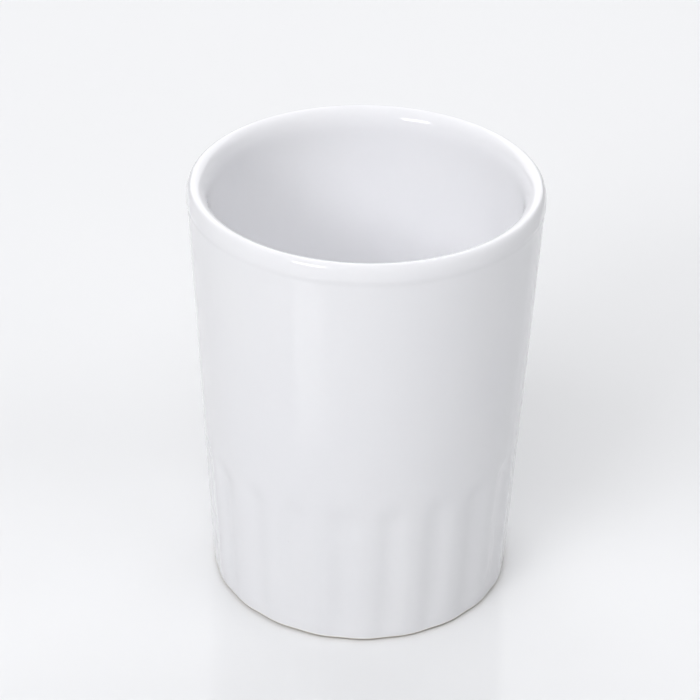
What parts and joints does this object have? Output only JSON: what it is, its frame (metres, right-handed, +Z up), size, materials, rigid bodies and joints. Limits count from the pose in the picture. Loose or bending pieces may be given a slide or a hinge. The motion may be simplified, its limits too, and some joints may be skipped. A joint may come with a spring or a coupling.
{
  "type": "pen cup",
  "caption": "Round tapered pen holder cup in glazed white ceramic, with a rolled lip, a fluted lower wall and a non-slip pad under its base.",
  "frame": {"origin": "centre of the non-slip pad's underside, on the surface that the cup stands on", "axes": "+Z up along the cup's axis, out of its mouth; -Y faces forwards, through a ridge between two flutes"},
  "size_m": [0.08, 0.08, 0.102],
  "materials": {
    "glaze": "gloss",
    "pad_rubber": "matte",
    "adhesive_film": "satin"
  },
  "bodies": {
    "root": {"cup_body": "glaze", "base_pad": "pad_rubber", "pad_adhesive": "adhesive_film"}
  },
  "joints": []
}
